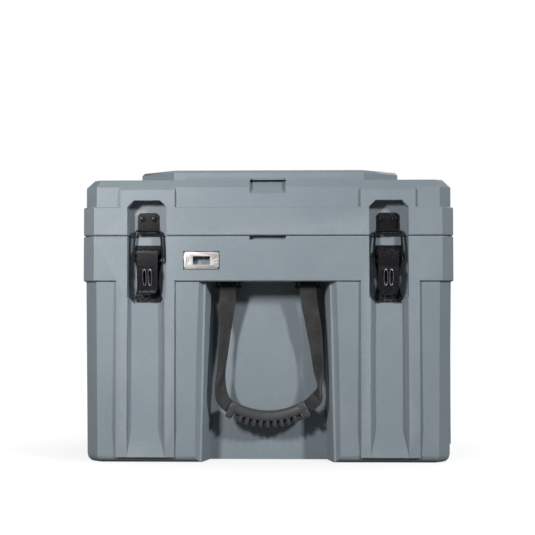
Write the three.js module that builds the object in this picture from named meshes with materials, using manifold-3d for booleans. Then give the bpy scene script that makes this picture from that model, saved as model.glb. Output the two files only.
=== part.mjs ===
// A rotomoulded chest cooler on wheels: insulated body and lid, two over-centre
// latches, a lock plate, a webbing tow handle in a front bay, rear wheels and a drain.
// Millimetres, +Z up, the front faces -Y, the origin is the centre of the footprint.
import * as THREE from 'three';
import { mergeVertices } from 'three/addons/utils/BufferGeometryUtils.js';
import { ConvexGeometry } from 'three/addons/geometries/ConvexGeometry.js';
import Module from 'manifold-3d';

const wasm = await Module();
wasm.setup();

// ---- driving dimensions ----
const GAP = 0.3;                    // clearance between touching pieces
const BODY_HALF_WIDTH = 280;        // at the proud top band
const FRONT_Y = -230;               // proud front plane
const REAR_Y = 219;                 // proud rear plane, hinge barrels reach 230
const STEP_BACK = 3.5;              // how far the lower walls sit behind the band
const CORNER_CUT = 18;              // vertical corner facets
const BODY_TOP = 340;
const BAND_BOTTOM = 272;
const LID_BOTTOM = 341;
const LID_BAND_TOP = 384;
const LID_TOP = 426;
const PLATEAU_TOP = 446;
const DRAFT = 3 / 276;              // lower walls lean in by this share down to the floor
const SKIN = 7;                     // moulded wall thickness
const LATCH_X = 182;                // centre of each latch from the middle plane
const POCKET_FLOOR_Y = -206;
const BAY_BACK_Y = -168;
const HANDLE_PIVOT = new THREE.Vector3(0, -196, 264);
const WHEEL_RADIUS = 85;
const WHEEL_Y = 132;
const WHEEL_IN = 216;               // inner face of the tyre
const WHEEL_OUT = 264;              // outer face of the tyre
const STRAP_X = 61;                 // centre of each strap from the middle plane
const HINGE_X = 150;
const HINGE_Y = 225;
const HINGE_Z = 340.5;
const DRAIN_Y = -30;
const DRAIN_Z = 56;

// ---- materials ----
const finishes = {
  shell: { color: 0x8e9aa3, roughness: 0.55, metalness: 0 },
  foam: { color: 0xe8dfc4, roughness: 0.9, metalness: 0 },
  rubber: { color: 0x2c2e30, roughness: 0.8, metalness: 0 },
  blackSteel: { color: 0x2b2d31, roughness: 0.35, metalness: 0.8 },
  steel: { color: 0xbeb9b7, roughness: 0.35, metalness: 1 },
  webbing: { color: 0x4a4542, roughness: 0.9, metalness: 0 },
  grip: { color: 0x505356, roughness: 0.6, metalness: 0 },
  plastic: { color: 0x3a3d40, roughness: 0.6, metalness: 0 },
};

// ---- shape helpers ----
const v3 = (x, y, z) => new THREE.Vector3(x, y, z);

function solid(geometry) {
  const bare = geometry.clone();
  for (const name of Object.keys(bare.attributes)) {
    if (name !== 'position') bare.deleteAttribute(name);
  }
  const merged = mergeVertices(bare, 1e-4);
  const mesh = new wasm.Mesh({
    numProp: 3,
    vertProperties: new Float32Array(merged.attributes.position.array),
    triVerts: new Uint32Array(merged.index.array),
  });
  return new wasm.Manifold(mesh);
}

function geometryOf(shape) {
  const mesh = shape.getMesh();
  const geometry = new THREE.BufferGeometry();
  geometry.setAttribute('position', new THREE.BufferAttribute(mesh.vertProperties, 3));
  geometry.setIndex(new THREE.BufferAttribute(mesh.triVerts, 1));
  return geometry;
}

function join(...shapes) {
  return shapes.reduce((whole, next) => whole.add(next));
}

function cut(whole, ...tools) {
  return tools.reduce((rest, tool) => rest.subtract(tool), whole);
}

function block(x0, x1, y0, y1, z0, z1) {
  const box = new THREE.BoxGeometry(x1 - x0, y1 - y0, z1 - z0);
  return solid(box.translate((x0 + x1) / 2, (y0 + y1) / 2, (z0 + z1) / 2));
}

function hull(points) {
  return solid(new ConvexGeometry(points));
}

function outline(points) {
  return new THREE.Shape(points.map(([u, v]) => new THREE.Vector2(u, v)));
}

// An outline pushed along an axis. It is drawn in x-y for 'z', x-z for 'y' and y-z for 'x'.
function prism(axis, shape, from, to) {
  const geometry = new THREE.ExtrudeGeometry(shape, {
    depth: to - from,
    bevelEnabled: false,
    curveSegments: 6,
  });
  if (axis === 'z') return solid(geometry.translate(0, 0, from));
  if (axis === 'y') return solid(geometry.rotateX(Math.PI / 2).translate(0, to, 0));
  const turn = new THREE.Matrix4().makeBasis(v3(0, 1, 0), v3(0, 0, 1), v3(1, 0, 0));
  return solid(geometry.applyMatrix4(turn).translate(from, 0, 0));
}

function rod(axis, radius, from, to, a, b, sides = 12) {
  const geometry = new THREE.CylinderGeometry(radius, radius, to - from, sides);
  const middle = (from + to) / 2;
  if (axis === 'x') return solid(geometry.rotateZ(Math.PI / 2).translate(middle, a, b));
  if (axis === 'y') return solid(geometry.translate(a, middle, b));
  return solid(geometry.rotateX(Math.PI / 2).translate(a, b, middle));
}

// A turned piece on an axis along X: profile points are [radius, x].
function turnedX(points, y, z, sides) {
  const profile = points.map(([radius, along]) => new THREE.Vector2(radius, along));
  const geometry = new THREE.LatheGeometry(profile, sides);
  return solid(geometry.rotateZ(-Math.PI / 2).translate(0, y, z));
}

function cutCorners(x0, x1, y0, y1, cutX, cutY = cutX) {
  return [
    [x0 + cutX, y0], [x1 - cutX, y0], [x1, y0 + cutY], [x1, y1 - cutY],
    [x1 - cutX, y1], [x0 + cutX, y1], [x0, y1 - cutY], [x0, y0 + cutY],
  ];
}

// A plan outline with edges rounded or chamfered where it meets its top and bottom.
function slab(points, z0, z1, edge, segments) {
  const geometry = new THREE.ExtrudeGeometry(outline(points), {
    depth: z1 - z0 - 2 * edge,
    bevelEnabled: true,
    bevelThickness: edge,
    bevelSize: edge,
    bevelOffset: -edge,
    bevelSegments: segments,
  });
  return geometry.translate(0, 0, z0 + edge);
}

// Leans a lower wall in towards the floor, so that the mould can be drawn.
function leaned(geometry) {
  const position = geometry.attributes.position;
  for (let i = 0; i < position.count; i += 1) {
    const drop = Math.max(0, BAND_BOTTOM - position.getZ(i)) / BAND_BOTTOM;
    position.setX(i, position.getX(i) * (1 - DRAFT * drop));
    position.setY(i, position.getY(i) * (1 - DRAFT * drop));
  }
  return geometry;
}

function mirrored(shape) {
  return shape.mirror([1, 0, 0]);
}

const cooler = new THREE.Group();

function add(name, shape, finish) {
  const mesh = new THREE.Mesh(geometryOf(shape), new THREE.MeshStandardMaterial(finishes[finish]));
  mesh.name = name;
  cooler.add(mesh);
}

// ---- cutting shapes ----

// Tow handle bay: a chamfered mouth and a deeper part behind it, open at the floor.
const BAY_MOUTH = { top: 110, bottom: 121 };
const BAY_LIP = { y: -218, top: 97, bottom: 103 };
const BAY_BACK = { top: 83, bottom: 90 };

function bay() {
  const ring = (y, half) => [
    v3(-half.bottom, y, -5), v3(half.bottom, y, -5),
    v3(-half.top, y, BAND_BOTTOM), v3(half.top, y, BAND_BOTTOM),
  ];
  const mouth = hull([...ring(FRONT_Y - 5, BAY_MOUTH), ...ring(BAY_LIP.y, BAY_LIP)]);
  const depth = hull([...ring(FRONT_Y - 5, BAY_LIP), ...ring(BAY_BACK_Y, BAY_BACK)]);
  return join(mouth, depth);
}

// Wheel well at +X: an arch over the tyre, open to the side, the rear and the floor.
const WELL_IN = 207;
const WELL_RADIUS = 96;

function wheelWell() {
  const shape = new THREE.Shape();
  shape.moveTo(WHEEL_Y - WELL_RADIUS, -5);
  shape.lineTo(WHEEL_Y - WELL_RADIUS, WHEEL_RADIUS);
  shape.absarc(WHEEL_Y, WHEEL_RADIUS, WELL_RADIUS, Math.PI, Math.PI / 2, true);
  shape.lineTo(REAR_Y + 5, WHEEL_RADIUS + WELL_RADIUS);
  shape.lineTo(REAR_Y + 5, -5);
  shape.closePath();
  return prism('x', shape, WELL_IN, BODY_HALF_WIDTH + 5);
}

// Latch pocket at +X, across the seam of body and lid; grow makes it larger on every side.
const POCKET = { half: 29.5, bottom: 238, top: 394, corner: 10 };

function latchPocket(grow) {
  const points = cutCorners(
    LATCH_X - POCKET.half - grow, LATCH_X + POCKET.half + grow,
    POCKET.bottom - grow, POCKET.top + grow, POCKET.corner,
  );
  return prism('y', outline(points), FRONT_Y - 5, POCKET_FLOOR_Y + grow);
}

// Hand-hold at +X: a pocket below the band that rises behind the band's lower edge.
const HOLD = { half: 62, bottom: 218, depth: 26, rise: 22, lip: 11 };

function handHold() {
  const face = BODY_HALF_WIDTH + 5;
  const back = BODY_HALF_WIDTH - HOLD.depth;
  const lip = BODY_HALF_WIDTH - HOLD.lip;
  const shape = outline([
    [face, HOLD.bottom], [face, BAND_BOTTOM], [lip, BAND_BOTTOM],
    [lip, BAND_BOTTOM + HOLD.rise], [back, BAND_BOTTOM + HOLD.rise],
    [back, HOLD.bottom + 12], [face - 18, HOLD.bottom],
  ]);
  return prism('y', shape, -HOLD.half, HOLD.half);
}

// Inside of the tub: deep between the wheels, stepped over the wheels and over the bay.
const TUB = { half: 240, front: -190, rear: 186, deepHalf: 176, deepFront: -136, floor: 42 };
const TUB_STEP_WHEELS = 206;
const TUB_STEP_BAY = 296;

function tub() {
  const plan = (half, front) => outline(cutCorners(-half, half, front, TUB.rear, 24));
  const part = (half, front, z0, z1) => prism('z', plan(half, front), z0, z1);
  return join(
    part(TUB.half, TUB.front, TUB_STEP_BAY, BODY_TOP + 5),
    part(TUB.half, TUB.deepFront, TUB_STEP_WHEELS, TUB_STEP_BAY + 5),
    part(TUB.deepHalf, TUB.deepFront, TUB.floor, TUB_STEP_WHEELS + 5),
  );
}

const bothSides = (shape) => join(shape, mirrored(shape));

// Raised ribs that run down from the band, with a sunk panel between each pair.
const RIB = {
  outer: 228, inner: 140, openHalf: 28.5, floorHalf: 22.5, floorY: -220, foot: 8, fade: 50,
};
const PANEL_X = 183;

function frontRibs() {
  const shape = outline([
    [FRONT_Y, BAND_BOTTOM + 5], [FRONT_Y, RIB.fade], [FRONT_Y + STEP_BACK, RIB.foot],
    [FRONT_Y + 30, RIB.foot], [FRONT_Y + 30, BAND_BOTTOM + 5],
  ]);
  return prism('x', shape, RIB.inner, RIB.outer);
}

function frontPanel() {
  const top = POCKET.bottom + 30;
  const across = (half, y, z) => [v3(PANEL_X - half, y, z), v3(PANEL_X + half, y, z)];
  return hull([
    ...across(RIB.openHalf, FRONT_Y - 2, RIB.foot),
    ...across(RIB.openHalf, FRONT_Y - 2, top),
    ...across(RIB.openHalf, FRONT_Y + STEP_BACK, RIB.foot),
    ...across(RIB.floorHalf, RIB.floorY, RIB.fade),
    ...across(RIB.floorHalf, RIB.floorY, top),
  ]);
}

const SIDE_RIB = { near: 78, far: 166, low: 24, overWheel: 192 };

function sideRibs() {
  const inside = BODY_HALF_WIDTH - 30;
  const face = BODY_HALF_WIDTH - 0.5;
  const top = BAND_BOTTOM + 5;
  const front = block(inside, face, -SIDE_RIB.far, -SIDE_RIB.near, SIDE_RIB.low, top);
  const rear = block(inside, face, SIDE_RIB.near, SIDE_RIB.far, SIDE_RIB.overWheel, top);
  return join(front, rear);
}

function sidePanel(middle, z0, z1) {
  const corners = (x, half, inset) => [
    v3(x, middle - half, z0 + inset), v3(x, middle + half, z0 + inset),
    v3(x, middle - half, z1 - inset), v3(x, middle + half, z1 - inset),
  ];
  return hull([
    ...corners(BODY_HALF_WIDTH + 2, RIB.openHalf, 0),
    ...corners(BODY_HALF_WIDTH - 9, RIB.floorHalf, 6),
  ]);
}

const REAR_RIB_SHIFT = 40;          // rear ribs stand nearer the middle than the front ones
const REAR_PANEL_TOP = 262;

function rearRibs() {
  return block(
    RIB.inner - REAR_RIB_SHIFT, RIB.outer - REAR_RIB_SHIFT, REAR_Y - 30, REAR_Y - 0.5,
    RIB.foot + 30, BAND_BOTTOM + 5,
  );
}

function rearPanel() {
  const middle = PANEL_X - REAR_RIB_SHIFT;
  const corners = (y, half, inset) => [
    v3(middle - half, y, RIB.fade + inset), v3(middle + half, y, RIB.fade + inset),
    v3(middle - half, y, REAR_PANEL_TOP - inset), v3(middle + half, y, REAR_PANEL_TOP - inset),
  ];
  return hull([...corners(REAR_Y + 2, RIB.openHalf, 0), ...corners(REAR_Y - 9, RIB.floorHalf, 6)]);
}

// Underside behind the front foot: lifted off the floor and sloped up to the rear wall.
function skidRelief() {
  const shape = outline([[-70, -5], [-62, 9], [REAR_Y - 60, 9], [REAR_Y + 5, 60], [REAR_Y + 5, -5]]);
  return prism('x', shape, -300, 300);
}

// ---- body ----
const PLUG_X = 60;                  // filling holes, in the rear band
const PLUG_Z = 306;
const PLUG_RADIUS = 13;
const PLUG_DEPTH = 9;
const WELL_BOSS = { radius: 20, end: WELL_IN + 5 };
const AXLE_RADIUS = 7;
const AXLE_INNER = 186;

const HINGE_SCREW = { x: 20, drop: 26, radius: 2.4, length: 10, head: 4.6 };
const KEEPER_SCREW = { x: 9, z: 367, radius: 2, length: 5, head: 4 };
const LOCK = {
  x: -99.5, z: 303.3, halfX: 26.5, halfZ: 12.8, slotHalfX: 13, slotHalfZ: 6.4, rivetX: 20.2, rivetHole: 2.2,
};

function hingeScrewHoles(z, grow) {
  const holes = [];
  for (const side of [-1, 1]) {
    for (const across of [-1, 1]) {
      const x = side * HINGE_X + across * HINGE_SCREW.x;
      const end = REAR_Y - HINGE_SCREW.length - grow;
      holes.push(rod('y', HINGE_SCREW.radius + grow, end, REAR_Y + 2, x, z, 8));
    }
  }
  return holes;
}

function bodyShell() {
  const halfWidth = BODY_HALF_WIDTH - STEP_BACK;
  const lowerPlan = cutCorners(-halfWidth, halfWidth, FRONT_Y + STEP_BACK, REAR_Y - STEP_BACK, CORNER_CUT);
  const bandPlan = cutCorners(-BODY_HALF_WIDTH, BODY_HALF_WIDTH, FRONT_Y, REAR_Y, CORNER_CUT);
  const lower = solid(leaned(slab(lowerPlan, 0, BODY_TOP - 40, 12, 3)));
  const band = solid(slab(bandPlan, BAND_BOTTOM, BODY_TOP, 1.5, 1));
  const outer = join(lower, band, bothSides(frontRibs()), bothSides(sideRibs()), bothSides(rearRibs()));
  const middle = (SIDE_RIB.near + SIDE_RIB.far) / 2;
  const fingerNotch = block(-27.5, 27.5, FRONT_Y - 5, FRONT_Y + 12, BODY_TOP - 5.5, BODY_TOP + 5);
  const drainMouth = block(262, 290, DRAIN_Y - 27, DRAIN_Y + 27, DRAIN_Z - 27, DRAIN_Z + 27);
  const drainBore = rod('x', 11, TUB.deepHalf - 5, 290, DRAIN_Y, DRAIN_Z, 16);
  const axleBore = rod('x', AXLE_RADIUS + GAP, AXLE_INNER - GAP, 290, WHEEL_Y, WHEEL_RADIUS, 16);
  const plugHole = rod('y', PLUG_RADIUS, REAR_Y - PLUG_DEPTH, REAR_Y + 5, PLUG_X, PLUG_Z, 16);
  const lockSeat = block(
    LOCK.x - LOCK.halfX - 1, LOCK.x + LOCK.halfX + 1, FRONT_Y - 5, FRONT_Y + 3.5,
    LOCK.z - LOCK.halfZ - 1, LOCK.z + LOCK.halfZ + 1,
  );
  const lockHollow = block(LOCK.x - 15, LOCK.x + 15, FRONT_Y, FRONT_Y + 14, LOCK.z - 8, LOCK.z + 8);
  const rivetHoles = [-1, 1].map((side) => rod(
    'y', LOCK.rivetHole, FRONT_Y, FRONT_Y + 10.5, LOCK.x + side * LOCK.rivetX, LOCK.z, 8,
  ));
  const bracketSeats = [-1, 1].map((side) => block(
    side * STRAP_X - 23, side * STRAP_X + 23, HANDLE_PIVOT.y - 7, HANDLE_PIVOT.y + 7,
    BAND_BOTTOM - 2, BAND_BOTTOM + 2.5,
  ));
  const shell = cut(
    outer,
    bothSides(frontPanel()),
    bothSides(latchPocket(0)),
    bothSides(sidePanel(-middle, SIDE_RIB.low + 10, HOLD.bottom - 8)),
    bothSides(sidePanel(middle, SIDE_RIB.overWheel + 6, REAR_PANEL_TOP)),
    bothSides(rearPanel()),
    bay(),
    bothSides(wheelWell()),
    bothSides(handHold()),
    tub(),
    skidRelief(),
    fingerNotch,
    lockSeat,
    lockHollow,
    ...rivetHoles,
    drainMouth,
    ...hingeScrewHoles(HINGE_Z - HINGE_SCREW.drop, GAP),
    ...bracketSeats,
  );
  const wellBoss = rod('x', WELL_BOSS.radius, WELL_IN - 2, WELL_BOSS.end, WHEEL_Y, WHEEL_RADIUS, 20);
  return cut(join(shell, bothSides(wellBoss)), drainBore, bothSides(axleBore), bothSides(plugHole));
}

add('body_shell', bodyShell(), 'shell');

function fillPlug(x) {
  return rod('y', PLUG_RADIUS - GAP, REAR_Y - PLUG_DEPTH + GAP, REAR_Y - 1, x, PLUG_Z, 16);
}
add('foam_plug_left', fillPlug(-PLUG_X), 'shell');
add('foam_plug_right', fillPlug(PLUG_X), 'shell');

// ---- lid ----
const LID_PLUG = { halfX: 234, front: -184, rear: 180, bottom: 329 };
const GASKET = { inner: 243, outer: 251, depth: 4.5 };
const LID_FILL = { x: 0, y: 100 };   // filling hole in the underside

function lidFoamForm(clear) {
  const main = solid(slab(
    cutCorners(-266 - clear, 266 + clear, -215 - clear, 208 + clear, CORNER_CUT),
    LID_BOTTOM + SKIN + 4 - clear, LID_TOP - SKIN - 3 + clear, 10, 1,
  ));
  const plug = prism('z', outline(cutCorners(
    -LID_PLUG.halfX + SKIN - clear, LID_PLUG.halfX - SKIN + clear,
    LID_PLUG.front + SKIN - clear, LID_PLUG.rear - SKIN + clear, 18,
  )), LID_PLUG.bottom + SKIN - clear, LID_BOTTOM + SKIN + 12);
  return cut(join(main, plug), bothSides(latchPocket(SKIN - clear)));
}

function gasketRing(inset, z0, z1) {
  const ring = (reach) => outline(cutCorners(-reach, reach, -reach + 50, reach - 50, 26));
  const outer = prism('z', ring(GASKET.outer - inset), z0, z1);
  return cut(outer, prism('z', ring(GASKET.inner + inset), z0 - 1, z1 + 1));
}

const PLATEAU = { half: 202, front: -170, rear: 166, cutX: 55, cutY: 48 };
const PAD = { half: 127.5, top: 430.5 };
const LATCH_BLOCK = { inner: 140, outer: 222, chamfer: 16.5 };

function lidShell() {
  const halfWidth = BODY_HALF_WIDTH - STEP_BACK;
  const bandPlan = cutCorners(-BODY_HALF_WIDTH, BODY_HALF_WIDTH, FRONT_Y, REAR_Y, CORNER_CUT);
  const upperPlan = cutCorners(-halfWidth, halfWidth, FRONT_Y + 4.5, REAR_Y - 4.5, CORNER_CUT);
  const band = solid(slab(bandPlan, LID_BOTTOM, LID_BAND_TOP, 1.5, 1));
  const upper = solid(slab(upperPlan, LID_BOTTOM + 6, LID_TOP, 12, 1));
  const latchBlock = prism('x', outline([
    [FRONT_Y, LID_BAND_TOP - 5], [FRONT_Y, LID_TOP - LATCH_BLOCK.chamfer],
    [FRONT_Y + LATCH_BLOCK.chamfer, LID_TOP], [-150, LID_TOP], [-150, LID_BAND_TOP - 5],
  ]), LATCH_BLOCK.inner, LATCH_BLOCK.outer);
  const pad = hull([
    v3(-PAD.half, -214, LID_TOP - 1), v3(PAD.half, -214, LID_TOP - 1),
    v3(-PAD.half + 5, -209, PAD.top), v3(PAD.half - 5, -209, PAD.top),
    v3(-PAD.half + 5, -150, PAD.top), v3(PAD.half - 5, -150, PAD.top),
    v3(-PAD.half, -150, LID_TOP - 1), v3(PAD.half, -150, LID_TOP - 1),
  ]);
  const plateau = solid(slab(
    cutCorners(-PLATEAU.half, PLATEAU.half, PLATEAU.front, PLATEAU.rear, PLATEAU.cutX, PLATEAU.cutY),
    LID_TOP - 10, PLATEAU_TOP, 4, 1,
  ));
  const plug = prism('z', outline(cutCorners(
    -LID_PLUG.halfX, LID_PLUG.halfX, LID_PLUG.front, LID_PLUG.rear, 20,
  )), LID_PLUG.bottom, LID_BOTTOM + 5);
  const notch = prism('x', outline([[-245, 404], [-226, 404], [-194, 436], [-245, 436]]), -27, 27);
  const fillHole = rod(
    'z', PLUG_RADIUS, LID_PLUG.bottom - 2, LID_BOTTOM + SKIN + 6, LID_FILL.x, LID_FILL.y, 16,
  );
  const keeperHoles = [-1, 1].map((side) => rod(
    'y', KEEPER_SCREW.radius + GAP, POCKET_FLOOR_Y - 2, POCKET_FLOOR_Y + KEEPER_SCREW.length + GAP,
    LATCH_X + side * KEEPER_SCREW.x, KEEPER_SCREW.z, 8,
  ));
  return cut(
    join(band, upper, bothSides(latchBlock), pad, plateau, plug),
    bothSides(latchPocket(0)),
    notch,
    lidFoamForm(GAP),
    gasketRing(-GAP, LID_BOTTOM - 1, LID_BOTTOM + GASKET.depth),
    fillHole,
    bothSides(join(...keeperHoles)),
    ...hingeScrewHoles(HINGE_Z + HINGE_SCREW.drop, GAP),
  );
}

add('lid_shell', lidShell(), 'shell');
add('lid_foam', lidFoamForm(0), 'foam');
add('lid_gasket', gasketRing(0, BODY_TOP + GAP, LID_BOTTOM + GASKET.depth - GAP), 'rubber');
const lidFillPlug = rod(
  'z', PLUG_RADIUS - GAP, LID_PLUG.bottom + 0.5, LID_PLUG.bottom + SKIN - 1, LID_FILL.x, LID_FILL.y, 16,
);
add('lid_foam_plug', lidFillPlug, 'shell');

// ---- rear hinges ----
const KNUCKLE = { half: 11, outer: 30, radius: 5, pin: 2.5 };
const LEAF = { half: 30, thickness: 2.5, reach: 42, corner: 6 };

function hingeLeaf(x, up) {
  const way = up ? 1 : -1;
  const near = HINGE_Z + way * (KNUCKLE.radius + 1.5);
  const far = HINGE_Z + way * LEAF.reach;
  const shoulder = far - way * LEAF.corner;
  const y0 = REAR_Y + GAP;
  const y1 = y0 + LEAF.thickness;
  const plate = outline([
    [x - LEAF.half, near], [x + LEAF.half, near], [x + LEAF.half, shoulder],
    [x + LEAF.half - LEAF.corner, far], [x - LEAF.half + LEAF.corner, far], [x - LEAF.half, shoulder],
  ]);
  const middleSpan = [[-KNUCKLE.half + 0.5, KNUCKLE.half - 0.5]];
  const outerSpans = [[-KNUCKLE.outer, -KNUCKLE.half], [KNUCKLE.half, KNUCKLE.outer]];
  let leaf = prism('y', plate, y0, y1);
  for (const [from, to] of up ? middleSpan : outerSpans) {
    const web = block(x + from, x + to, y0, y1, Math.min(HINGE_Z, near), Math.max(HINGE_Z, near));
    leaf = join(leaf, web, rod('x', KNUCKLE.radius, x + from, x + to, HINGE_Y, HINGE_Z, 16));
  }
  const holes = [-1, 1].map((side) => rod(
    'y', HINGE_SCREW.radius + GAP, y0 - 2, y1 + 2, x + side * HINGE_SCREW.x,
    HINGE_Z + way * HINGE_SCREW.drop, 8,
  ));
  const bore = rod('x', KNUCKLE.pin + GAP, x - 40, x + 40, HINGE_Y, HINGE_Z, 12);
  return cut(leaf, bore, ...holes);
}

const HEAD_RISE = 2.2;

// A pan-head screw along Y, head outwards on the given side.
function screw(x, y, z, outwards, size) {
  const length = size.length + 2;
  const shankFrom = outwards > 0 ? y - length : y;
  const headFrom = outwards > 0 ? y : y - HEAD_RISE;
  const shank = rod('y', size.radius, shankFrom, shankFrom + length, x, z, 8);
  return join(shank, rod('y', size.head, headFrom, headFrom + HEAD_RISE, x, z, 12));
}

for (const [side, sign] of [['left', -1], ['right', 1]]) {
  const x = sign * HINGE_X;
  add(`hinge_body_leaf_${side}`, hingeLeaf(x, false), 'blackSteel');
  add(`hinge_lid_leaf_${side}`, hingeLeaf(x, true), 'blackSteel');
  add(`hinge_pin_${side}`, rod('x', KNUCKLE.pin, x - 31.5, x + 31.5, HINGE_Y, HINGE_Z, 12), 'steel');
  for (const [place, across] of [['a', -1], ['b', 1]]) {
    const seat = REAR_Y + GAP + LEAF.thickness + GAP;
    const make = (z) => screw(x + across * HINGE_SCREW.x, seat, z, 1, HINGE_SCREW);
    add(`hinge_body_screw_${side}_${place}`, make(HINGE_Z - HINGE_SCREW.drop), 'steel');
    add(`hinge_lid_screw_${side}_${place}`, make(HINGE_Z + HINGE_SCREW.drop), 'steel');
  }
}

// ---- front latches ----
const LEVER_PIVOT = { y: -216, z: 315 };
const BAIL_PIVOT = { y: -214, z: 303 };
const BAIL = { radius: 1.75, topHalf: 19.6, lowHalf: 22.6, crossZ: 349 };
const LEVER = { half: 15.5, flange: 1.3 };
const LATCH_PIN = { radius: 2, half: 18.2 };
const BASE = { y0: POCKET_FLOOR_Y - 2.3, y1: POCKET_FLOOR_Y - GAP };

function keeper(x) {
  const plate = prism('y', outline([
    [-16.5, 344.6], [16.5, 344.6], [16.5, 372.5], [12.5, 376.5], [-12.5, 376.5], [-16.5, 372.5],
  ].map(([u, v]) => [u + x, v])), BASE.y0, BASE.y1);
  const ledge = block(x - 15, x + 15, -219, BASE.y0 + 1, 344.6, 346.4);
  const holes = [-1, 1].map((side) => rod(
    'y', KEEPER_SCREW.radius + GAP, BASE.y0 - 2, BASE.y1 + 2, x + side * KEEPER_SCREW.x, KEEPER_SCREW.z, 8,
  ));
  return cut(join(plate, ledge), ...holes);
}

function latchBase(x) {
  const half = [
    [20, 327], [20, 300], [16.5, 284], [15.5, 268], [21, 246], [18, 241],
  ];
  const rightSide = half.map(([u, v]) => [x + u, v]);
  const leftSide = half.map(([u, v]) => [x - u, v]).reverse();
  const plate = prism('y', outline([...rightSide, ...leftSide]), BASE.y0, BASE.y1);
  const ear = (side) => {
    const shape = outline([
      [BASE.y0 + 1, 308], [LEVER_PIVOT.y - 1, 310.5], [LEVER_PIVOT.y - 3.6, 312.5],
      [LEVER_PIVOT.y - 3.6, 317.5], [LEVER_PIVOT.y - 1, 319.5], [BASE.y0 + 1, 322],
    ]);
    const middle = x + side * 16.8;
    return prism('x', shape, middle - 0.8, middle + 0.8);
  };
  const bore = rod('x', LATCH_PIN.radius + GAP, x - 20, x + 20, LEVER_PIVOT.y, LEVER_PIVOT.z, 10);
  return cut(join(plate, ear(-1), ear(1)), bore);
}

function lever(x) {
  const skin = outline([
    [-217, 321], [-220.6, 318.5], [-221.5, 314], [-221.5, 295], [-225.5, 289], [-222, 273],
    [-220.5, 258], [-223.5, 251.5],
    [-221.9, 250.6], [-218.7, 257.6], [-220.2, 272.8], [-223.4, 288.6], [-219.8, 294.4],
    [-219.8, 313.6], [-219.2, 316.8], [-216.6, 319.3],
  ]);
  const front = prism('x', skin, x - LEVER.half, x + LEVER.half);
  const cheekShape = outline([
    [-210.8, 319], [-213, 321], [-217, 321], [-220.6, 318.5], [-221, 314], [-221, 295],
    [-222.5, 291], [-216, 292], [-210.5, 299],
  ]);
  const cheeks = [-1, 1].map((side) => {
    const outerFace = x + side * LEVER.half;
    const innerFace = outerFace - side * LEVER.flange;
    return prism('x', cheekShape, Math.min(outerFace, innerFace), Math.max(outerFace, innerFace));
  });
  const slots = [-4.2, 4.2].map((at) => prism('y', outline(cutCorners(
    x + at - 2.2, x + at + 2.2, 268, 288, 2,
  )), -235, -212));
  const tipCorners = [-1, 1].map((side) => prism('y', outline([
    [x + side * 16, 262], [x + side * 16, 245], [x + side * 5.5, 245],
    [x + side * 5.5, 253.5], [x + side * 11.5, 253.5],
  ]), -235, -212));
  const pinBore = rod('x', LATCH_PIN.radius + GAP, x - 20, x + 20, LEVER_PIVOT.y, LEVER_PIVOT.z, 10);
  const bailBore = rod('x', BAIL.radius + 0.4, x - 20, x + 20, BAIL_PIVOT.y, BAIL_PIVOT.z, 10);
  return cut(join(front, ...cheeks), ...slots, ...tipCorners, pinBore, bailBore);
}

function bail(x) {
  const at = (dx, z) => v3(x + dx, BAIL_PIVOT.y, z);
  const rightSide = [
    at(14.3, BAIL_PIVOT.z), at(18, BAIL_PIVOT.z), at(21.2, BAIL_PIVOT.z + 1.6),
    at(BAIL.lowHalf, BAIL_PIVOT.z + 5.5), at(21.6, 320), at(20.4, 334), at(BAIL.topHalf, 343),
    at(18.4, 347.4), at(14.5, BAIL.crossZ),
  ];
  const leftSide = rightSide.map((point) => v3(2 * x - point.x, point.y, point.z)).reverse();
  const points = [...rightSide, at(0, BAIL.crossZ), ...leftSide];
  const path = new THREE.CatmullRomCurve3(points, false, 'centripetal');
  const section = new THREE.Shape().absarc(0, 0, BAIL.radius, 0, 2 * Math.PI, false);
  const geometry = new THREE.ExtrudeGeometry(section, { extrudePath: path, steps: 44, curveSegments: 4 });
  return solid(geometry);
}

for (const [side, sign] of [['left', -1], ['right', 1]]) {
  const x = sign * LATCH_X;
  add(`latch_keeper_${side}`, keeper(x), 'blackSteel');
  add(`latch_base_${side}`, latchBase(x), 'blackSteel');
  add(`latch_lever_${side}`, lever(x), 'blackSteel');
  add(`latch_bail_${side}`, bail(x), 'blackSteel');
  const { y: pinY, z: pinZ } = LEVER_PIVOT;
  const pin = rod('x', LATCH_PIN.radius, x - LATCH_PIN.half, x + LATCH_PIN.half, pinY, pinZ, 10);
  add(`latch_pin_${side}`, pin, 'steel');
  for (const [place, across] of [['a', -1], ['b', 1]]) {
    const spot = x + across * KEEPER_SCREW.x;
    const made = screw(spot, BASE.y0 - GAP, KEEPER_SCREW.z, -1, KEEPER_SCREW);
    add(`keeper_screw_${side}_${place}`, made, 'steel');
  }
}

// ---- lock plate, also a bottle opener ----
const LOCK_FRONT = FRONT_Y + 0.5;
const lockPlate = cut(
  prism('y', outline(cutCorners(
    LOCK.x - LOCK.halfX, LOCK.x + LOCK.halfX, LOCK.z - LOCK.halfZ, LOCK.z + LOCK.halfZ, 3,
  )), LOCK_FRONT, LOCK_FRONT + 2.6),
  block(
    LOCK.x - LOCK.slotHalfX, LOCK.x + LOCK.slotHalfX, -240, -220,
    LOCK.z - LOCK.slotHalfZ, LOCK.z + LOCK.slotHalfZ,
  ),
  rod('y', LOCK.rivetHole, -240, -220, LOCK.x - LOCK.rivetX, LOCK.z, 8),
  rod('y', LOCK.rivetHole, -240, -220, LOCK.x + LOCK.rivetX, LOCK.z, 8),
);
add('lock_plate', lockPlate, 'steel');
for (const [side, sign] of [['left', -1], ['right', 1]]) {
  const x = LOCK.x + sign * LOCK.rivetX;
  add(`lock_rivet_${side}`, rod('y', 1.9, LOCK_FRONT + 0.2, LOCK_FRONT + 9, x, LOCK.z, 10), 'steel');
}

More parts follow.
